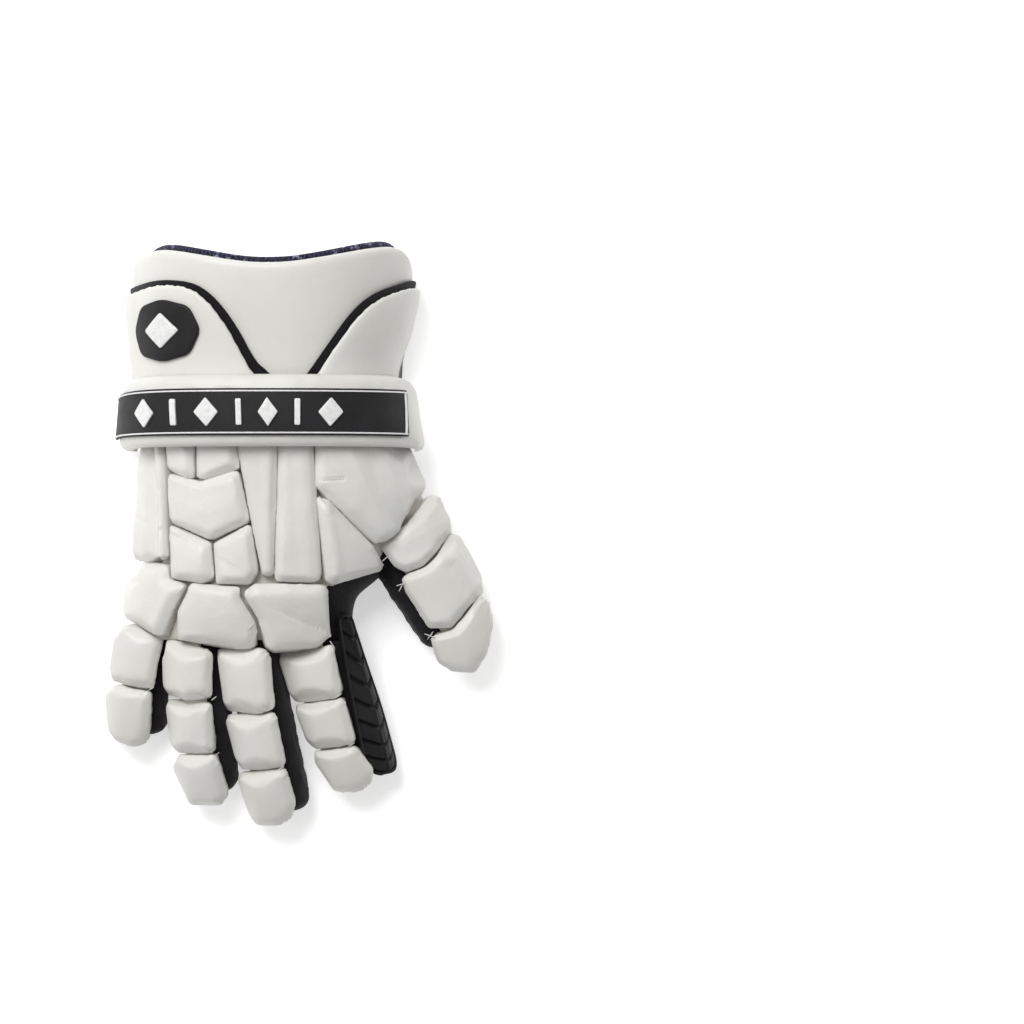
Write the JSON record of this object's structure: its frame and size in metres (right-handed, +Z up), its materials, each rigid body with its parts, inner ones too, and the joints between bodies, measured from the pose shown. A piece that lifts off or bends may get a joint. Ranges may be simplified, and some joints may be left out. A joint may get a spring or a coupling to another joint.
{
  "type": "lacrosse glove",
  "caption": "Padded sport glove for the right hand, open at the wrist, with hollow knit fingers under leather foam pads, a winged cuff, a wrist roll with a strap and a rubber finger guard.",
  "frame": {"origin": "middle of the bounding box at the palm's underside, where the glove lies on a surface", "axes": "+Z up through the back of the hand, +Y from the fingers to the cuff, +X to the thumb side"},
  "size_m": [0.22, 0.329, 0.0935],
  "materials": {
    "leather": "matte",
    "palm": "matte",
    "knit": "matte",
    "felt": "matte",
    "lining": "matte",
    "rubber": "matte",
    "print": "satin"
  },
  "bodies": {
    "root": {"hand_shell": "knit", "palm": "palm", "little_sleeve": "knit", "ring_sleeve": "knit", "middle_sleeve": "knit", "index_sleeve": "knit", "thumb_sleeve": "knit", "long_pad_outer": "leather", "long_pad_inner": "leather", "crown_pad_left": "leather", "crown_pad_right": "leather", "chevron_pad": "leather", "small_pad_left": "leather", "small_pad_right": "leather", "ridge_pad_middle": "leather", "ridge_pad_index": "leather", "triangle_pad": "leather", "base_pad": "leather", "knuckle_pad_little": "leather", "knuckle_pad_middle": "leather", "knuckle_pad_index": "leather", "little_pad_root": "leather", "little_pad_tip": "leather", "ring_pad_root": "leather", "ring_pad_middle": "leather", "ring_pad_tip": "leather", "middle_pad_root": "leather", "middle_pad_middle": "leather", "middle_pad_tip": "leather", "index_pad_root": "leather", "index_pad_middle": "leather", "index_pad_tip": "leather", "thumb_pad_root": "leather", "thumb_pad_middle": "leather", "thumb_pad_tip": "leather", "cuff_plate": "leather", "cuff_lining": "lining", "wing_felt": "felt", "wing_face": "leather", "wrist_roll": "leather", "wrist_strap": "rubber", "strap_line_lower": "print", "strap_line_upper": "print", "strap_lozenge_1": "print", "strap_bar_1": "print", "strap_lozenge_2": "print", "strap_bar_2": "print", "strap_lozenge_3": "print", "strap_bar_3": "print", "strap_lozenge_4": "print", "cuff_plaque": "rubber", "plaque_lozenge": "print", "finger_guard": "rubber"}
  },
  "joints": []
}
